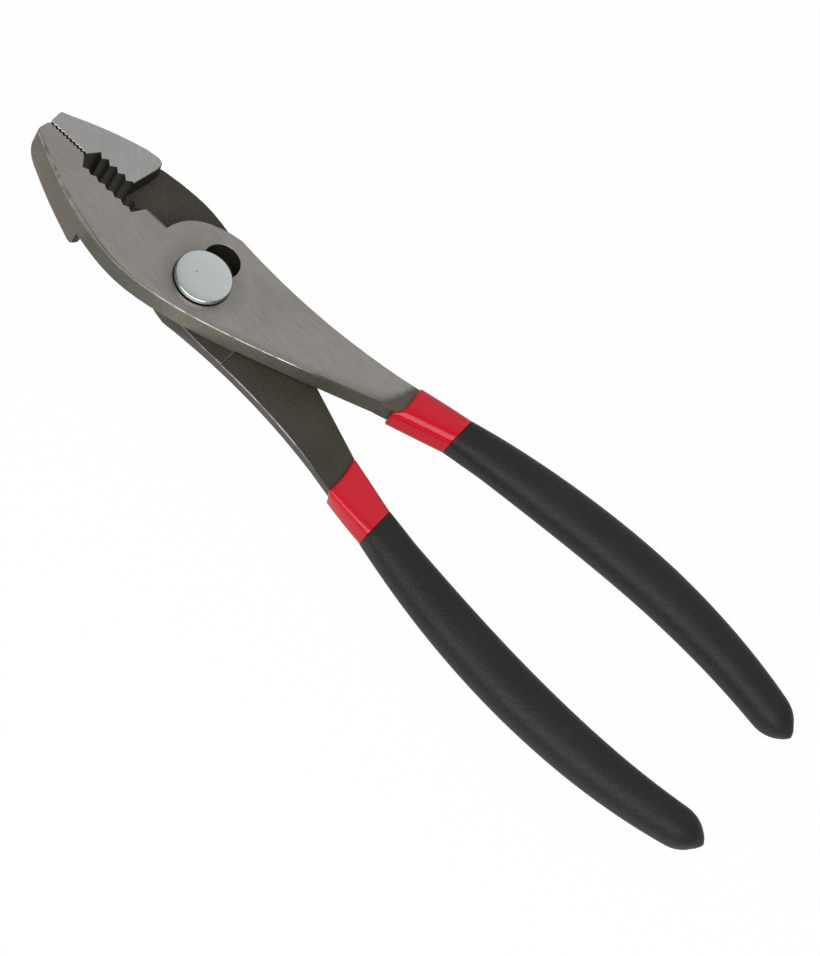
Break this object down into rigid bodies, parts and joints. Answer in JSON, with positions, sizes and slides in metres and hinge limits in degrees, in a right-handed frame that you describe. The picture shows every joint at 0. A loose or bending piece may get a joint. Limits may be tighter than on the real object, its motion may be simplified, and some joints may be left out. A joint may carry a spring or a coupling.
{
  "type": "slip joint pliers",
  "caption": "Slip joint pliers with a two-position pivot slot, fine and coarse jaw teeth, ground steel levers and long bowed handles dipped in red and black vinyl.",
  "frame": {"origin": "on the pivot axis, at the pin's flush back end, level with the ground back face of the rear lever", "axes": "+X along the pliers towards the handles, +Y across towards the front lever's handle, +Z along the pivot towards the round head"},
  "size_m": [0.2501, 0.0645, 0.0179],
  "materials": {
    "ground_steel": "satin ground faces with darker forged edges",
    "dark_steel": "dark forged lap and tang with a ground jaw face",
    "bright_pin": "bright plated round head",
    "nut_steel": "dark oiled steel",
    "red_vinyl": "glossy dipped vinyl",
    "black_vinyl": "fine matt textured dip"
  },
  "bodies": {
    "front": {"front_lever": "ground_steel", "front_collar": "red_vinyl", "front_grip": "black_vinyl"},
    "pivot": {"pivot_pin": "bright_pin", "pivot_nut": "nut_steel"},
    "rear": {"rear_lever": "dark_steel", "rear_collar": "red_vinyl", "rear_grip": "black_vinyl"}
  },
  "joints": [
    {"name": "slip", "type": "slide", "parent": "front", "child": "pivot", "axis": [0, 1, 0], "range_m": [0, 0.0086]},
    {"name": "jaw_opening", "type": "hinge", "parent": "pivot", "child": "rear", "pos_m": [0, 0, 0], "axis": [0, 0, -1], "range_deg": [0, 40]}
  ]
}
